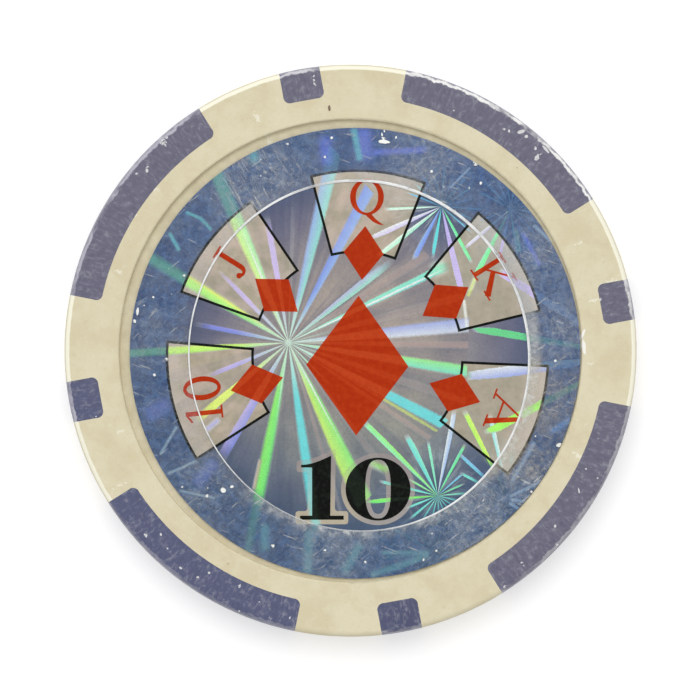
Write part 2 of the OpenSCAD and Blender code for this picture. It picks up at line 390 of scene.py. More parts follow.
# The bursts beside it: middle, weight against the others, colour that its cell gives the foil, and its rays,
# which widen up to their blunt ends.
SIDE_BURSTS = [
    ((6.08, -10.13), -26, srgb(238, 242, 246),
     [(-175, 3.4, LIME, GREEN, 5.0)]
     + spread(-158, (2.3, 2.5, 2, 2, 2.2, 2, 2, 2, 2.2), 4.0, (MINT, CYAN))
     + [(5, 3.6, MINT, MINT, 2.2), (24, 3.6, MINT, GREEN, 2.0), (41, 3.6, CYAN, SKY, 2.4),
        (62, 3.4, GREEN, MINT, 4.0), (78.5, 3.6, SKY, PALE, 6.0), (99.5, 3.2, MINT, MINT, 3.8),
        (117, 5.0, MINT, CYAN, 4.7), (134.7, 3.4, LIME, MINT, 7.2), (150, 3.6, MINT, LIME, 2.3),
        (166, 3.4, CYAN, MINT, 4.1)]),
    ((6.36, 10.08), -20, srgb(234, 241, 250),
     [(-178, 4.2, MINT, PALE, 3.9), (-156, 4.2, PALE, LAVENDER, 5.4), (-142, 4.0, PALE, MINT, 5.6),
      (-118, 4.8, SKY, BLUE, 4.2), (-100, 4.2, CYAN, CYAN, 3.6), (-77, 4.4, LAVENDER, LAVENDER, 6.0),
      (-62, 3.6, MINT, GREEN, 4.4), (-41, 2.6, SKY, CYAN, 2.8)]
     + spread(-22, (2.4, 3, 2.2, 2.6, 3.2, 2.4, 2.8, 2.2, 3, 2.4, 2.6), 3.0, (SKY, CYAN, BLUE))),
    ((11.18, 9.94), -20, srgb(230, 240, 254),
     [(-158, 3.0, SKY, SKY, 2.4), (-139, 3.6, PALE, LAVENDER, 4.2), (-117.5, 3.8, MINT, GREEN, 5.4),
      (-103, 3.4, LAVENDER, LAVENDER, 3.6), (-82, 3.2, CYAN, CYAN, 3.4), (-67, 4.0, DEEP, DEEP, 4.6)]
     + spread(-46, (2.6, 2.2, 3, 2.4, 2, 2.6, 2.2, 2.8, 2.4, 2.2, 2.6, 2.4), 3.0, (SKY, BLUE, CYAN))),
    ((11.04, -10.34), -20, srgb(230, 240, 248),
     spread(-172, (2.2, 2, 2.4, 2, 2.2, 1.8, 2.4, 2, 2.2, 2.6, 2, 2.4, 2.2, 2, 2.4), 3.0, (CYAN, SKY))
     + [(102.5, 3.2, PALE, CYAN, 5.9), (116.7, 3.2, YELLOW, LIME, 6.8), (138, 3.4, SKY, CYAN, 4.6),
        (152, 3.0, CYAN, MINT, 3.8), (168, 2.6, CYAN, SKY, 2.6)]),
    ((5.94, -14.18), -26, srgb(230, 243, 246),
     spread(-175, (4, 3.2, 2.4, 2, 2, 2, 2.2, 3, 3.4, 2.6, 2, 1.6, 1.6, 1.6, 1.8, 1.6, 1.8, 2.4, 3.4),
            3.2, (CYAN, MINT))),
    ((19.7, -0.34), 75, srgb(242, 242, 246),
     [(-172.8, 4.0, PALE, BLUE, 11.6), (-152.2, 3.0, LIME, LIME, 11.6), (-133.5, 1.6, BLUE, SKY, 9),
      (148, 3.2, LAVENDER, LAVENDER, 11.0), (170.2, 2.4, JADE, JADE, 11.5)]),
]
# Short straight glints: start, end, half the width, colour. RING_GLINTS lie on the blue under the film.
GLINTS = [
    ((-9.2, -4.8), (-10.1, -5.55), 0.18, VIOLET), ((-6.3, -7.6), (-6.76, -9.72), 0.12, SALMON),
    ((1.35, -7.8), (2.7, -8.35), 0.26, LIME), ((8.71, 5.07), (8.2, 3.79), 0.13, YELLOW),
    ((7.91, 3.57), (8.15, 1.59), 0.1, PALE), ((5.75, 5.6), (6.6, 5.95), 0.42, MINT),
]
RING_GLINTS = [
    ((0.9, 15.5), (1.06, 13.4), 0.5, DEEP), ((0.22, 15.5), (0.65, 13.3), 0.2, TEAL),
    ((-1.8, 14.9), (-1.64, 13.0), 0.4, DEEP), ((1.6, 13.85), (5.3, 14.06), 0.2, DEEP),
    ((-7.0, 13.5), (-6.5, 13.6), 0.4, TEAL), ((-11.49, 9.68), (-10.47, 9.25), 0.1, TEAL),
    ((-10.47, 9.25), (-9.72, 8.45), 0.11, TEAL), ((-12.66, 8.23), (-11.97, 7.0), 0.12, TEAL),
    ((-12.13, -5.28), (-13.31, -7.26), 0.09, STEEL), ((-10.74, -7.69), (-12.77, -8.6), 0.09, STEEL),
    ((-11.92, -9.78), (-9.45, -10.31), 0.08, STEEL), ((-2.87, -12.5), (-3.01, -15.6), 0.3, SEA),
    ((0.69, -13.5), (-0.5, -15.5), 0.3, SEA), ((5.5, -14.11), (2.2, -14.11), 0.15, SEA),
    ((5.4, -14.3), (1.4, -15.7), 0.2, SEA), ((11.1, -10.2), (13.9, -8.85), 0.09, FROST),
    ((11.2, -10.4), (12.7, -10.62), 0.1, FROST), ((11.1, -10.66), (12.2, -11.3), 0.1, FROST),
    ((12.85, -6.4), (11.3, -9.1), 0.13, FROST), ((14.0, -5.7), (15.3, -4.8), 0.18, AZURE),
    ((12.05, 8.22), (13.2, 6.0), 0.14, DEEP), ((11.6, 8.44), (11.83, 6.92), 0.1, SEA),
    ((12.8, 8.76), (14.1, 7.57), 0.11, FROST), ((6.94, 11.38), (8.35, 12.79), 0.07, FROST),
    ((-9.4, -7.75), (-10.8, -9.35), 0.4, INDIGO), ((-12.7, -3.7), (-14.3, -4.5), 0.5, INDIGO),
    ((-6.0, -12.1), (-6.0, -14.0), 0.28, SEA),
]


def ray_ramps(w, angle, rays, reach, profile):
    """Colour of a burst's rays, by ramps round the circle, and their length as a share of the reach."""
    turn = w.plus(w.times(angle, 1 / (2 * math.pi)), 0.5)
    colour, share = PALE, 0.0
    rays_each = RAMP_STOPS // len(profile)
    for first in range(0, len(rays), rays_each):
        stops = []
        for direction, half, near, far, length in rays[first:first + rays_each]:
            for offset, part in profile:
                hue = [a + (b - a) * (offset + 1) / 2 for a, b in zip(near[:3], far[:3])]
                position = max(0.0, (direction + offset * half + 180) / 360)
                stops.append((position, hue + [part * length / reach]))
        ramp = w.ramp(turn, stops).outputs
        colour = w.mix(w.math("GREATER_THAN", ramp["Alpha"], 0.0), colour, ramp["Color"])
        share = w.most(share, ramp["Alpha"])
    return colour, share


def fan_streaks(w, angle, distance, twist):
    """Streaks that run out from a burst."""
    where = w.combined(w.math("COSINE", angle), w.math("SINE", angle), w.times(distance, twist))
    return w.noise(9.0, 3.0, 0.6, where)


def foil_rays():
    """The node group that all inks on the foil share: ray colour, ray strength, and the cell's tone."""
    group = bpy.data.node_groups.new("foil_rays", "ShaderNodeTree")
    group.interface.new_socket("Color", in_out="OUTPUT", socket_type="NodeSocketColor")
    group.interface.new_socket("Strength", in_out="OUTPUT", socket_type="NodeSocketFloat")
    group.interface.new_socket("Tone", in_out="OUTPUT", socket_type="NodeSocketColor")
    w = Wiring(group)
    fine = w.noise(12.0, 2.0, 0.6)
    grain = w.noise(22.0, 2.0, 0.6)
    rough = w.times(w.minus(fine, 0.5), 0.02)
    angle, distance = w.polar(MAIN_BURST)
    jittered = w.plus(angle, rough)
    colour, strength = PALE, 0.0
    for rays, profile, softness, most in RAY_LAYERS:
        hue, length = ray_ramps(w, jittered, rays, MAIN_REACH, profile)
        left = w.minus(w.times(length, MAIN_REACH), distance)
        if profile == PEAK:
            left = w.math("DIVIDE", left, w.minus(MAIN_REACH, distance))
        share = w.ease(left, 0.0, softness, 0.0, most)
        colour = w.mix(w.ease(share, 0.0, 0.35), colour, hue)
        strength = w.most(strength, share)
    colour = w.mix(w.ease(distance, 0.5, 4.2, 0.85, 0.0), colour, srgb(206, 242, 222))
    strength = w.most(strength, w.ease(distance, 0.36, 0.1, 0.0, 0.8))
    streak = fan_streaks(w, angle, distance, 0.012)
    tone = w.mix(w.ease(streak, 0.32, 0.68), srgb(212, 214, 225), srgb(255, 250, 245))
    main_score = w.minus(w.times(distance, distance), MAIN_WEIGHT)
    score = main_score
    side_rays = []
    for middle, weight, cell_tone, rays in SIDE_BURSTS:
        angle, distance = w.polar(middle)
        own_score = w.minus(w.times(distance, distance), weight)
        tone = w.mix(w.math("LESS_THAN", own_score, score), tone, cell_tone)
        tone = w.mix(w.ease(distance, 3.4, 0.0, 0.0, 0.8), tone, srgb(160, 204, 216))
        score = w.math("MINIMUM", score, own_score)
        reach = max(length for *_, length in rays)
        hue, length = ray_ramps(w, w.plus(angle, rough), rays, reach, BLUNT)
        tip = w.ease(w.minus(w.times(length, reach), distance), -0.2, 0.4)
        share = w.times(w.ease(length, 0.0, 0.25), tip)
        streak = fan_streaks(w, angle, distance, 0.06)
        faint = w.times(w.ease(streak, 0.5, 0.64), w.ease(distance, 4.8, 1.5), 0.24)
        side_rays.append((w.mix(share, srgb(120, 160, 194), hue), w.most(share, faint)))
    strength = w.times(strength, w.math("LESS_THAN", main_score, w.plus(score, 0.01)))
    for *line, hue in GLINTS:
        side_rays.append((hue, w.times(w.stroke(*line), 0.75)))
    for hue, share in side_rays:
        colour = w.mix(share, colour, hue)
        strength = w.most(strength, share)
    out = group.nodes.new("NodeGroupOutput").inputs
    w.join(out["Color"], colour)
    w.join(out["Strength"], w.times(strength, w.ease(grain, 0.36, 0.62, 0.5, 1.0)))
    w.join(out["Tone"], tone)
    return group


RAYS = foil_rays()
# The fan's middle, and distances from it: where the film's cover begins and is full, and the deepest blue
FAN = (0.48, -0.41)
UNDER_FILM = (11.4, 12.8)
DEEPEST_BLUE = 17


def foil_finish(name, tone, glow, **constants):
    """A finish on the foil. Tone gives its colour, and glow the colour and share with which the rays show."""
    material, w, shader = new_finish(name, **constants)
    rays = w.add("ShaderNodeGroup", node_tree=RAYS).outputs
    distance = w.polar(FAN)[1]
    base = tone(w, rays["Tone"], distance)
    colour, share = glow(w, rays["Color"], distance)
    w.join(shader["Base Color"], w.mix(w.times(rays["Strength"], share), base, colour))
    w.join(shader["Roughness"], w.ease(w.noise(2.0, 4.0), 0.3, 0.7, 0.26, 0.4))
    return material


def blue_tone(w, cell, distance):
    fade = w.ramp(w.times(distance, 1 / DEEPEST_BLUE), [
        (0.0, srgb(164, 155, 150)), (0.3, srgb(160, 152, 146)), (0.47, srgb(143, 138, 141)),
        (0.6, srgb(110, 110, 130)), (0.7, srgb(80, 89, 117)), (0.8, srgb(46, 79, 124)),
        (1.0, srgb(38, 72, 117)),
    ])
    tone = w.mix(1.0, fade.outputs["Color"], cell, "MULTIPLY")
    low = w.ease(w.y, 3.0, -13.0, 0.0, 0.8)
    tone = w.mix(low, tone, w.mix(1.0, tone, srgb(206, 246, 240), "MULTIPLY"))
    facets = w.ease(w.noise(0.5, 2.0, 0.5), 0.35, 0.7)
    grain = w.ease(w.noise(7.0, 3.0, 0.6), 0.35, 0.7)
    tone = w.mix(w.times(facets, 0.22), tone, srgb(58, 66, 92))
    tone = w.mix(w.times(grain, 0.2), tone, srgb(60, 62, 84))
    blotches = w.times(w.ease(w.noise(2.2, 4.0, 0.6), 0.42, 0.66, 0.0, 0.36), w.ease(distance, 11.6, 12.8))
    tone = w.mix(blotches, tone, srgb(82, 118, 164))
    dither = w.ease(w.noise(16.0, 2.0, 0.6), 0.36, 0.6, 0.35, 0.8)
    for *line, hue in RING_GLINTS:
        tone = w.mix(w.times(w.stroke(*line), dither), tone, hue)
    return tone


def blue_glow(w, colour, distance):
    """Under the film the rays are weaker and turn blue-green."""
    under = w.ease(distance, *UNDER_FILM)
    tinted = w.mix(0.5, w.mix(1.0, colour, srgb(150, 216, 255), "MULTIPLY"), srgb(84, 146, 166))
    share = w.times(w.ease(w.x, -2.0, -8.0, 0.3, 0.6), w.ease(w.y, -6.0, -1.0, 0.45, 1.0))
    return w.mix(under, colour, tinted), w.plus(w.minus(1.0, under), w.times(under, share))


def bare_tone(w, cell, distance):
    brushed = w.noise(2.5, 4.0, 0.6)
    tone = w.mix(brushed, srgb(144, 136, 117), srgb(176, 167, 147))
    lit = w.ease(w.minus(w.y, w.x), -6.0, 10.0, 0.12, 0.45)
    sheen = w.times(w.ease(w.noise(0.7, 3.0, 0.5), 0.38, 0.62), lit)
    tone = w.mix(sheen, tone, srgb(203, 184, 173))
    filmed = w.times(w.ease(distance, *UNDER_FILM), w.ease(w.x, 7.0, 11.0, 0.3, 0.7))
    tone = w.mix(filmed, tone, srgb(206, 196, 184))
    return w.mix(0.5, tone, cell, "MULTIPLY")


def halo_tone(w, cell, distance):
    """The bare foil round the number, which catches more light towards its foot."""
    foot = w.mix(w.ease(w.x, -0.5, 1.5), srgb(174, 164, 143), srgb(150, 145, 142))
    return w.mix(w.ease(w.y, -7.4, -12.2), srgb(138, 131, 130), foot)


def red_tone(w, cell, distance):
    wear = w.ease(w.noise(3.0, 5.0, 0.65), 0.35, 0.75)
    return w.mix(w.times(wear, 0.5), srgb(174, 44, 2), srgb(196, 66, 14))


def black_tone(w, cell, distance):
    """Worn black ink, greyer on the uppermost card line, which the film covers."""
    wear = w.ease(w.noise(3.5, 5.0, 0.65), 0.45, 0.8)
    ink = w.mix(w.times(wear, 0.5), srgb(10, 12, 10), srgb(46, 54, 46))
    return w.mix(w.ease(w.y, 12.1, 12.6, 0.0, 0.6), ink, srgb(72, 80, 104))


def even_glow(share, hue=None):
    """Rays that show with one share, in one hue or in their own colours."""
    return lambda w, colour, distance: (hue or colour, share)


# White marks on the front film: middle, half sizes, turn
FILM_FLECKS = [
    ((2.32, 14.6), 0.42, 0.14, -3), ((2.19, 15.12), 0.05, 0.14, 8), ((2.36, 15.34), 0.05, 0.09, 8),
    ((3.18, 14.91), 0.06, 0.1, -15), ((-1.32, 14.88), 0.09, 0.09, 0), ((-1.79, 13.53), 0.07, 0.09, 0),
    ((5.66, 12.53), 0.1, 0.1, 0), ((-14.88, 2.76), 0.09, 0.28, -5), ((-15.08, 2.06), 0.09, 0.13, 10),
    ((-13.78, 3.74), 0.08, 0.08, 0), ((-13.71, -1.69), 0.09, 0.1, 20), ((12.63, -9.85), 0.08, 0.08, 0),
    ((6.0, -13.97), 0.08, 0.08, 0), ((5.1, -14.6), 0.07, 0.1, -20), ((-8.9, -9.75), 0.2, 0.17, 0),
    ((-8.3, -9.5), 0.12, 0.1, 20), ((14.6, -6.6), 0.24, 0.13, 10), ((14.3, -0.7), 0.1, 0.1, 0),
]
# Scuffed places of the film: middle, radius, share of wear
FILM_SCUFFS = [
    ((8.6, -11.6), 5.6, 0.65), ((-6.0, 11.4), 5.4, 0.55), ((13.6, -3.5), 4.6, 0.5), ((5.2, 12.8), 4.2, 0.6),
    ((-10.5, -9.5), 4.0, 0.35), ((-14.0, 1.0), 3.5, 0.25), ((12.6, 6.6), 4.2, 0.5),
    ((-1.0, -14.0), 4.4, 0.45), ((12.4, -8.6), 4.0, 0.65), ((14.6, 1.5), 3.8, 0.55),
]
# Direction of most of the rubbing, in degrees
RUB_TURN = -59
# The front film's window
WINDOW_MIDDLE, WINDOW_R = (0.57, -0.37), 12.07


def clear_film():
    """The hazed and scuffed ring of film: mostly see-through, whitened where it is worn."""
    material, w, shader = new_finish("clear_film", Roughness=0.3, Specular_IOR_Level=0.5)
    scuffed = 0.0
    for middle, radius, share in FILM_SCUFFS:
        scuffed = w.most(scuffed, w.times(w.glow(middle, radius), share))
    haze = w.ease(w.noise(0.7, 4.0, 0.6), 0.3, 0.75, 0.0, 0.05)
    mottle = w.times(w.ease(w.noise(5.0, 5.0, 0.7), 0.44, 0.72), w.plus(0.07, w.times(scuffed, 0.16)))
    cloud = w.times(scuffed, w.ease(w.noise(1.1, 5.0, 0.65), 0.35, 0.7, 0.0, 0.17))
    creases = w.times(w.ridges(1.7, 0.07), scuffed, w.ease(w.noise(2.6, 3.0), 0.4, 0.65, 0.03, 0.3))
    dashes = w.times(w.specks(2.0, 0.22, 0.5, w.mapped((0.6, 1.5, 1.0), RUB_TURN)), scuffed, 0.25)
    rubbed = w.times(w.scratches(RUB_TURN, 0.09, 4.0), w.glow((-6.4, 11.2), 5.0), 0.3)
    lines = w.times(w.most(w.scratches(38, 0.0, 5.0), w.scratches(-20, 0.0, 5.0, (5, 2, 0))), 0.3)
    radius = w.polar(WINDOW_MIDDLE)[1]
    side = w.times(w.ease(w.x, 7.0, 12.0), w.ease(w.y, 8.0, -2.0, 0.4, 1.0))
    side = w.most(side, w.times(w.ease(w.y, -8.5, -11.5), w.ease(w.noise(1.3, 4.0, 0.6), 0.4, 0.6, 0.1, 0.9)))
    side = w.times(side, w.ease(w.noise(2.4, 4.0, 0.6), 0.3, 0.7, 0.16, 0.36))
    band = w.times(w.ease(radius, WINDOW_R + 0.9, WINDOW_R + 0.3), side)
    dots = w.most(w.specks(1.1, 0.11, 0.3), w.times(w.specks(0.6, 0.13, 0.2, w.mapped(shift=(2, 7, 0))), 0.9))
    for mark in FILM_FLECKS:
        dots = w.most(dots, w.fleck(*mark))
    cover = haze
    for part in (mottle, cloud, creases, dashes, rubbed, lines, band):
        cover = w.plus(cover, part)
    cover = w.most(cover, dots)
    w.join(shader["Alpha"], w.math("MINIMUM", cover, 1.0))
    card_side = w.times(w.ease(w.x, 6.0, 8.0), w.ease(w.y, 0.0, -1.0), w.ease(w.y, -9.5, -8.5))
    veil = w.mix(card_side, srgb(202, 207, 211), srgb(216, 208, 192))
    w.join(shader["Base Color"], w.mix(w.ease(cover, 0.15, 0.6), veil, srgb(242, 243, 239)))
    return material


def cut_edge_highlight():
    """A painted highlight along the film's cut edge at its window: white where the light catches it,
    strongest towards the top.
    """
    material, w, shader = new_finish("cut_edge_highlight", Roughness=0.25, Specular_IOR_Level=0.5)
    run = w.noise(1.4, 3.0, 0.6)
    w.join(shader["Base Color"], w.mix(run, srgb(230, 232, 233), srgb(248, 249, 248)))
    # The painted highlight is brightest towards the top, on the lamp's side, and fainter at one place near
    # the top
    bright = w.ease(w.plus(w.y, w.times(w.x, 0.3)), -12.6, -9.5, 0.35, 1.0)
    faint = w.minus(1.0, w.times(w.glow((-2.4, 11.8), 2.6), 0.6))
    w.join(shader["Alpha"], w.times(bright, faint, w.ease(run, 0.25, 0.6, 0.75, 1.0)))
    return material


FINISH = {
    "cream_plastic": cream_plastic(),
    "spot_plastic": spot_plastic(),
    "steel": sheet_steel(),
    "adhesive": label_gum(),
    "label_foil": foil_finish("blue_ink_on_foil", blue_tone, blue_glow, Metallic=0.35),
    "clear_film": clear_film(),
}
BARE_FOIL = foil_finish("bare_foil", bare_tone, even_glow(1.0), Metallic=0.35)
HALO_FOIL = foil_finish("halo_foil", halo_tone, even_glow(0.7), Metallic=0.35)
RED_INK = foil_finish("red_ink", red_tone, even_glow(0.36, srgb(224, 98, 48)), Specular_IOR_Level=0.08)
BLACK_INK = foil_finish("black_ink", black_tone, even_glow(0.2, srgb(58, 76, 60)), Specular_IOR_Level=0.05)
CUT_EDGE_HIGHLIGHT = cut_edge_highlight()


# Modelling helpers

def pick(*pieces):
    """Selects these pieces alone, with the first of them active."""
    bpy.ops.object.select_all(action="DESELECT")
    for piece in pieces:
        piece.select_set(True)
    if pieces:
        bpy.context.view_layer.objects.active = pieces[0]


def edit_all():
    bpy.ops.object.mode_set(mode="EDIT")
    bpy.ops.mesh.select_all(action="SELECT")


def shape_outline(points, corner_r=0.0):
    """A flat filled outline: a round primitive whose corners are set to the points, in millimetres."""
    pick()
    bpy.ops.mesh.primitive_circle_add(vertices=len(points), radius=MM, fill_type="NGON")
    piece = bpy.context.object
    for vertex, (x, y) in zip(piece.data.vertices, points):
        vertex.co = (x * MM, y * MM, 0)
    if corner_r:
        edit_all()
        bpy.ops.mesh.bevel(offset=corner_r * MM, segments=4, affect="VERTICES")
        bpy.ops.object.mode_set(mode="OBJECT")
    return piece


def shape_ring(outer, inner):
    """A flat ring between two outlines with as many points."""
    pick()
    bpy.ops.mesh.primitive_circle_add(vertices=len(outer), radius=2 * MM)
    piece = bpy.context.object
    bpy.ops.object.mode_set(mode="EDIT")
    bpy.ops.mesh.primitive_circle_add(vertices=len(inner), radius=MM)
    bpy.ops.object.mode_set(mode="OBJECT")
    for vertex, (x, y) in zip(piece.data.vertices, [*outer, *inner]):
        vertex.co = (x * MM, y * MM, 0)
    edit_all()
    bpy.ops.mesh.bridge_edge_loops()
    bpy.ops.object.mode_set(mode="OBJECT")
    return piece


def thicken(piece, low, high):
    """Makes a flat shape a closed plate from one height to another, in millimetres."""
    pick(piece)
    edit_all()
    bpy.ops.transform.translate(value=(0, 0, low * MM))
    bpy.ops.mesh.extrude_region_move(TRANSFORM_OT_translate={"value": (0, 0, (high - low) * MM)})
    bpy.ops.mesh.select_all(action="SELECT")
    bpy.ops.mesh.normals_make_consistent(inside=False)
    bpy.ops.object.mode_set(mode="OBJECT")
    return piece


def fused(pieces):
    """One closed plate from plates that overlap."""
    base = pieces[0]
    for other in pieces[1:]:
        pick(base)
        bpy.ops.object.modifier_add(type="BOOLEAN")
        union = base.modifiers[-1]
        union.operation, union.solver, union.object = "UNION", "EXACT", other
        bpy.ops.object.modifier_apply(modifier=union.name)
        pick(other)
        bpy.ops.object.delete()
    return base


def joined(pieces):
    pick(*pieces)
    bpy.ops.object.join()
    return pieces[0]


def ellipse(middle, half_w, half_h, count=64, power=2.0, turn=0.0):
    """Points round an ellipse; a power over 2 makes its sides straighter. The turn is in degrees."""
    points = []
    cos_turn, sin_turn = math.cos(math.radians(turn)), math.sin(math.radians(turn))
    for step in range(count):
        angle = 2 * math.pi * step / count
        c, s = math.cos(angle), math.sin(angle)
        x = math.copysign(abs(c) ** (2 / power), c) * half_w
        y = math.copysign(abs(s) ** (2 / power), s) * half_h
        points.append((middle[0] + x * cos_turn - y * sin_turn, middle[1] + x * sin_turn + y * cos_turn))
    return points


def grown(points, margin):
    """An outline, counter-clockwise, moved outwards by a margin."""
    result = []
    count = len(points)
    for i in range(count):
        before, here, after = Vector(points[i - 1]), Vector(points[i]), Vector(points[(i + 1) % count])
        a, b = (here - before).normalized(), (after - here).normalized()
        out = Vector((a.y + b.y, -a.x - b.x))
        result.append(tuple(here + out.normalized() * margin / max(0.5, 0.5 * out.length)))
    return result


def bar(start, end, start_w, end_w=None):
    """A straight stroke between two points, with its width at each end."""
    start, end = Vector(start), Vector(end)
    side = (end - start).normalized()
    side = Vector((-side.y, side.x))
    a, b = side * start_w / 2, side * (end_w or start_w) / 2
    return [tuple(start + a), tuple(start - a), tuple(end - b), tuple(end + b)]


# Label print

FAN_IN_LABEL = (0.054, -0.168)
CARD_INNER = 7.25
CARD_LINE = 0.18
CARD_ARC_STEPS = 24
RANK_BASE = 9.87
RANK_PIVOT = (0.0, 1.25)
PIP_HALF_W, PIP_HALF_H = 1.4, 1.89
# The large diamond: middle, half sizes, turn
LARGE_DIAMOND = ((0.04, -0.8), 3.57, 4.88, -1.0)
# One layer of ink, and how many layers high the foil, the card lines and the figures stand
INK_T = 0.006
FOIL_LAYERS, LINE_LAYERS, FIGURE_LAYERS = 1, 2, 3


def card_outline(turn, half_turn, outer, margin=0.0):
    """Outline of one card, a sector of the fan's ring, drawn in by a margin."""
    points = []
    x, y = FAN_IN_LABEL
    for radius, ends in ((CARD_INNER + margin, (1, -1)), (outer - margin, (-1, 1))):
        half = math.radians(half_turn) - math.asin(margin / radius)
        for step in range(CARD_ARC_STEPS + 1):
            share = ends[0] + (ends[1] - ends[0]) * step / CARD_ARC_STEPS
            angle = math.radians(turn) + half * share
            points.append((x + radius * math.cos(angle), y + radius * math.sin(angle)))
    return points


def tilted(points, tilt):
    """A rank's points turned on the spot, by degrees."""
    c, s = math.cos(math.radians(tilt)), math.sin(math.radians(tilt))
    px, py = RANK_PIVOT
    return [(px + (x - px) * c - (y - py) * s, py + (x - px) * s + (y - py) * c) for x, y in points]


def on_card(turn, points, radius):
    """Puts a drawing's points on the card at that turn, with its foot at the radius and its top outwards."""
    c, s = math.cos(math.radians(turn)), math.sin(math.radians(turn))
    fx, fy = FAN_IN_LABEL
    return [(fx + (radius + y) * c + x * s, fy + (radius + y) * s - x * c) for x, y in points]


def diamond(middle, half_w, half_h, turn=0.0):
    c, s = math.cos(math.radians(turn)), math.sin(math.radians(turn))
    corners = ((half_w, 0), (0, half_h), (-half_w, 0), (0, -half_h))
    return [(middle[0] + x * c - y * s, middle[1] + x * s + y * c) for x, y in corners]


def hook():
    """The stem and hook of the J as one outline."""
    x, y = -0.43, 0.42
    steps = 7
    turns = [-math.pi * 0.72 * step / steps for step in range(1, steps + 1)]
    outside = [(x + 0.48 * math.cos(turn), y + 0.5 * math.sin(turn)) for turn in turns]
    inside = [(x + 0.13 * math.cos(turn), y + 0.3 * math.sin(turn)) for turn in reversed(turns)]
    return [(0.05, 2.4), (0.05, 0.45), *outside, *inside, (-0.3, 0.5), (-0.3, 2.4)]


RANKS = {
    "A": [
        bar((0.1, 2.45), (1.1, 0.05), 0.3, 0.4), bar((0.08, 2.4), (-0.95, 0.05), 0.14),
        bar((-0.62, 0.8), (0.78, 0.8), 0.14), bar((-1.3, 0.06), (-0.55, 0.06), 0.12),
        bar((0.62, 0.06), (1.5, 0.06), 0.12),
    ],
    "K": [
        bar((-0.5, 0.0), (-0.5, 2.45), 0.34), bar((-0.95, 0.06), (-0.05, 0.06), 0.12),
        bar((-0.95, 2.39), (-0.05, 2.39), 0.12), bar((-0.4, 0.95), (1.1, 2.35), 0.14),
        bar((0.0, 1.3), (1.25, 0.08), 0.34, 0.42), bar((0.8, 0.06), (1.6, 0.06), 0.12),
        bar((0.75, 2.39), (1.4, 2.39), 0.12),
    ],
    "Q": [[(-0.2, 0.16), (0.1, -0.12), (0.45, -0.42), (0.85, -0.6), (1.25, -0.66),
           (0.95, -0.46), (0.62, -0.2), (0.4, 0.05), (0.3, 0.2)]],
    "J": [
        bar((-0.6, 2.39), (0.35, 2.39), 0.12), ellipse((-0.72, 0.2), 0.2, 0.19, 20), hook(),
    ],
    "10": [
        bar((-1.25, 0.0), (-1.25, 2.6), 0.32), bar((-1.7, 0.06), (-0.8, 0.06), 0.13),
        bar((-1.3, 2.56), (-1.85, 2.18), 0.14),
    ],
}
# Round parts of the ranks: middle, half sizes of the outer outline and of the inner one
RANK_RINGS = {"Q": ((0.0, 1.3), 1.18, 1.26, 0.78, 1.1), "10": ((0.48, 1.28), 0.83, 1.32, 0.47, 1.08)}
# Each card: its turn, half its width and its rank's tilt in degrees, its outer radius and its pip's shift
CARDS = {
    "A": (-20.4, 17.9, 0.0, 13.4, (0.0, 0.0)), "K": (32.0, 18.3, 0.0, 13.2, (0.0, 0.0)),
    "Q": (86.6, 18.2, 2.0, 13.08, (0.0, 0.0)), "J": (142.2, 18.0, 6.0, 13.2, (-0.09, -0.15)),
    "10": (194.0, 18.8, -8.0, 13.4, (-0.16, 0.04)),
}

# The number: the outline of its 1, the middle and half sizes of its 0, and the halo's width round both
ONE = [
    (-3.96, -11.57), (-0.91, -11.57), (-0.91, -11.29), (-1.85, -11.29), (-1.79, -7.09), (-2.1, -7.24),
    (-2.6, -7.46), (-3.1, -7.63), (-3.55, -7.72), (-3.89, -7.74), (-3.89, -7.92), (-3.12, -7.92),
    (-3.12, -11.29), (-3.96, -11.29),
]
NOUGHT = (1.487, -9.434)
NOUGHT_OUT, NOUGHT_IN = (2.266, 2.196), (0.888, 2.05)
NOUGHT_POINTS, NOUGHT_IN_POWER = 96, 2.6
HALO = 0.32
HALO_CORNER = 0.2


def nought_ring(margin=0.0):
    """The 0 as a flat ring, wider on both sides by a margin."""
    (out_w, out_h), (in_w, in_h) = NOUGHT_OUT, NOUGHT_IN
    outer = ellipse(NOUGHT, out_w + margin, out_h + margin, NOUGHT_POINTS)
    inner = ellipse(NOUGHT, in_w - margin, in_h - margin, NOUGHT_POINTS, NOUGHT_IN_POWER)
    return shape_ring(outer, inner)


def inked(shape, layers):
    """A flat shape as a plate of ink that starts in the label and stands that many layers high."""
    return thicken(shape, -INK_T, layers * INK_T)


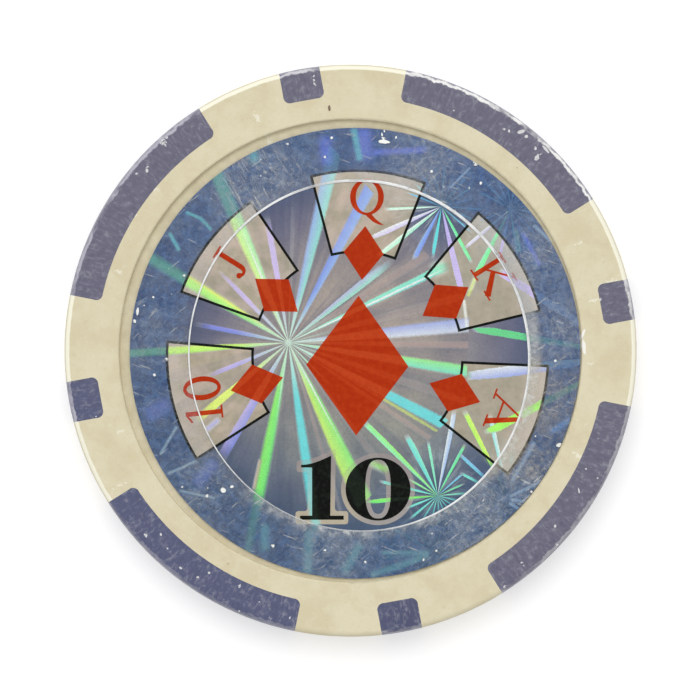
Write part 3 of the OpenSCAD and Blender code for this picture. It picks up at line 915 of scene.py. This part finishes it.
def print_layers():
    """The print of one label, flat round the origin: bare foil, the number's halo, black ink and red ink."""
    bare, black, red = [], [], []
    for rank, (turn, half_turn, tilt, outer_r, shift) in CARDS.items():
        outline = card_outline(turn, half_turn, outer_r)
        bare.append(inked(shape_outline(outline), FOIL_LAYERS))
        inside = card_outline(turn, half_turn, outer_r, CARD_LINE)
        black.append(inked(shape_ring(outline, inside), LINE_LAYERS))
        pip = on_card(turn, diamond(shift, PIP_HALF_W, PIP_HALF_H), CARD_INNER)
        red.append(inked(shape_outline(pip), FIGURE_LAYERS))
        strokes = [shape_outline(on_card(turn, tilted(stroke, tilt), RANK_BASE)) for stroke in RANKS[rank]]
        if rank in RANK_RINGS:
            middle, out_w, out_h, in_w, in_h = RANK_RINGS[rank]
            outer = on_card(turn, tilted(ellipse(middle, out_w, out_h), tilt), RANK_BASE)
            inner = on_card(turn, tilted(ellipse(middle, in_w, in_h), tilt), RANK_BASE)
            strokes.insert(0, shape_ring(outer, inner))
        red.append(fused([inked(stroke, FIGURE_LAYERS) for stroke in strokes]))
    red.append(inked(shape_outline(diamond(*LARGE_DIAMOND)), FIGURE_LAYERS))
    halo = [shape_outline(grown(ONE, HALO), HALO_CORNER), nought_ring(HALO)]
    halo = fused([inked(shape, FOIL_LAYERS) for shape in halo])
    black.append(inked(shape_outline(ONE), FIGURE_LAYERS))
    black.append(inked(nought_ring(), FIGURE_LAYERS))
    return {
        "bare_foil": (joined(bare), BARE_FOIL),
        "number_halo": (halo, HALO_FOIL),
        "black_print": (joined(black), BLACK_INK),
        "red_print": (joined(red), RED_INK),
    }


def copied(piece):
    pick(piece)
    bpy.ops.object.duplicate(linked=False)
    return bpy.context.object


def settle(piece, matrix):
    """Puts a piece at its place and leaves the place in its mesh."""
    pick(piece)
    piece.matrix_world = matrix
    bpy.ops.object.transform_apply(location=True, rotation=True, scale=True)
    return piece


def coat(piece, material):
    piece.data.materials.clear()
    piece.data.materials.append(material)


def give(piece, name, material):
    piece.name = piece.data.name = name
    coat(piece, material)
    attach(piece, "root")


def face_frame(face):
    """Turns a label's plan to its place on one face of the chip, with the print's top along +Y."""
    low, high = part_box(f"{face}_label")
    middle = (low + high) / 2
    if face == "front":
        return Matrix.Translation((middle.x, middle.y, high.z))
    return Matrix.Translation((middle.x, middle.y, low.z)) @ Matrix.Rotation(math.pi, 4, "Y")


# Ring film

# The window on each face: its middle from the label's, its half sizes and their turn. The front one was cut a
# little out of round.
WINDOW = {"front": ((0.255, -0.2), (12.27, 11.87), 103.7), "back": ((0.0, 0.0), (12.07, 12.07), 0.0)}
WINDOW_POINTS = 256
# Heights of the film's two faces over its label, and the rounding of its edges
FILM_LIFT = 0.025
FILM_TOP = 0.12
FILM_ROUND = 0.03
# Width of the strip that carries the painted highlight on the window's cut edge, and its shift towards the
# upper right
HIGHLIGHT_W = 0.15
HIGHLIGHT_SHIFT = 0.04
SMOOTH_DEGREES = 40


def window_outline(face, margin=0.0, shift=0.0):
    """The window's outline, larger all round by a margin, and moved towards its upper right by a shift."""
    (x, y), (half_long, half_short), turn = WINDOW[face]
    middle = (x + shift, y + shift)
    return ellipse(middle, half_long + margin, half_short + margin, WINDOW_POINTS, turn=turn)


def film_plate(outer, inner):
    """A ring of film between two outlines, with rounded edges and smooth shading."""
    piece = thicken(shape_ring(outer, inner), FILM_LIFT, FILM_TOP)
    bpy.ops.object.modifier_add(type="BEVEL")
    bevel = piece.modifiers[-1]
    bevel.width, bevel.segments, bevel.limit_method = FILM_ROUND * MM, 2, "ANGLE"
    bpy.ops.object.modifier_apply(modifier=bevel.name)
    bpy.ops.object.shade_smooth_by_angle(angle=math.radians(SMOOTH_DEGREES))
    return piece


def ring_film(face):
    """The film on a label, as large as the CAD film and cut out at its window."""
    low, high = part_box(f"{face}_ring_film")
    outer_r = (high.x - low.x) / 2 / MM
    rim = ellipse((0, 0), outer_r, outer_r, WINDOW_POINTS, turn=WINDOW[face][2])
    return film_plate(rim, window_outline(face))


def window_edge_highlight(face):
    """A narrow strip of film round the window's cut edge that carries its painted highlight, widest at the
    upper right.
    """
    return film_plate(window_outline(face, HIGHLIGHT_W / 2, HIGHLIGHT_SHIFT), window_outline(face, -HIGHLIGHT_W / 2))


# Dressing

# The front print lies a little off its label's middle
PRINT_AT = {"front": Matrix.Translation((0.114 * MM, -0.063 * MM, 0)), "back": Matrix.Identity(4)}
SLOT_OF = {part["node"]: part["material_slot"] for part in frame["record"]["subparts"]}
for name, node in nodes.items():
    coat(node, FINISH[SLOT_OF[name]])

layers = print_layers()
for face in ("front", "back"):
    matrix = face_frame(face)
    for layer, (plan, ink) in layers.items():
        give(settle(copied(plan), matrix @ PRINT_AT[face]), f"{face}_{layer}", ink)
    film = settle(ring_film(face), matrix)
    give(film, f"{face}_film_ring", FINISH["clear_film"])
    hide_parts(f"{face}_ring_film")
    # A strip along each window's cut edge carries its painted highlight
    give(settle(window_edge_highlight(face), matrix), f"{face}_window_edge_highlight", CUT_EDGE_HIGHLIGHT)
pick(*(plan for plan, _ in layers.values()))
bpy.ops.object.delete()


# Floor, light and camera

WHITE, PAPER = (1, 1, 1, 1), (0.7, 0.7, 0.7, 1)
# Radius of the floor in metres, and millimetres from its middle between which it turns all white
FLOOR_R = 4.0
WHITE_FROM, ALL_WHITE = 26.0, 60.0
PAPER_LIFT = 0.45
WORLD_LIGHT = 0.62
# Pixels across the photograph and across its chip
PHOTO_PX, CHIP_PX = 700, 572
# The camera's shift, and how far below the chip's top its size is taken, in millimetres
CAMERA_SHIFT = (-0.04, 0.05)
SIZE_DROP = 0.4
# Height of camera and lamp in metres
STUDIO_HEIGHT = 0.3
SENSOR_W = 36


def eye_rays(w):
    """1 for rays from the camera, straight or by way of a shiny or clear surface."""
    path = w.add("ShaderNodeLightPath").outputs
    return w.most(path["Is Camera Ray"], w.most(path["Is Glossy Ray"], path["Is Transmission Ray"]))


def studio_floor():
    pick()
    bpy.ops.mesh.primitive_circle_add(vertices=64, radius=FLOOR_R, fill_type="NGON", location=(0, 0, 0))
    floor = bpy.context.object
    floor.name = floor.data.name = "studio_floor"
    material = bpy.data.materials.new("white_paper")
    material.use_nodes = True
    w = Wiring(material.node_tree)
    shaders = material.node_tree.nodes
    shaders.remove(shaders["Principled BSDF"])
    seen = eye_rays(w)
    far = w.times(seen, w.ease(w.vector("LENGTH", w.place), WHITE_FROM, ALL_WHITE))
    paper = w.add("ShaderNodeBsdfDiffuse", {"Color": PAPER}).outputs[0]
    lift = w.add("ShaderNodeEmission", {"Color": WHITE, "Strength": w.times(seen, PAPER_LIFT)}).outputs[0]
    near = w.add("ShaderNodeAddShader", {0: paper, 1: lift}).outputs[0]
    white = w.add("ShaderNodeEmission", {"Color": WHITE, "Strength": 1.0}).outputs[0]
    look = w.add("ShaderNodeMixShader", {0: far, 1: near, 2: white}).outputs[0]
    w.join(shaders["Material Output"].inputs["Surface"], look)
    coat(floor, material)


def studio_world():
    world = bpy.data.worlds.new("studio")
    bpy.context.scene.world = world
    world.use_nodes = True
    background = world.node_tree.nodes["Background"].inputs
    background["Color"].default_value = WHITE
    w = Wiring(world.node_tree)
    w.join(background["Strength"], w.ease(eye_rays(w), 0.0, 1.0, WORLD_LIGHT, 1.0))


def studio_lamp(name, azimuth, elevation, strength, disc):
    """A lamp as far off as the sun. Its angles are in degrees."""
    pick()
    bpy.ops.object.light_add(type="SUN", location=(0, 0, STUDIO_HEIGHT))
    lamp = bpy.context.object
    lamp.name = name
    a, e = math.radians(azimuth), math.radians(elevation)
    towards = Vector((math.cos(a) * math.cos(e), math.sin(a) * math.cos(e), math.sin(e)))
    lamp.rotation_euler = towards.to_track_quat("Z", "Y").to_euler()
    lamp.data.energy, lamp.data.angle = strength, math.radians(disc)


def photo_camera():
    """Straight down, so that the chip is as large in the picture as in the photograph."""
    x, y = (part * MM for part in CAMERA_SHIFT)
    height = cad_high.z - SIZE_DROP * MM + STUDIO_HEIGHT
    bpy.ops.object.camera_add(location=(x, y, height), rotation=(0, 0, 0))
    camera = bpy.context.object
    half_view = CHIP_R * MM * PHOTO_PX / CHIP_PX
    camera.data.sensor_width = SENSOR_W
    camera.data.lens = SENSOR_W / 2 * STUDIO_HEIGHT / half_view
    camera.data.clip_start, camera.data.clip_end = 0.01, 10
    bpy.context.scene.camera = camera


studio_floor()
studio_world()
studio_lamp("window_light", azimuth=100, elevation=60, strength=1.22, disc=45)
photo_camera()
bpy.context.scene.view_settings.view_transform = "Standard"
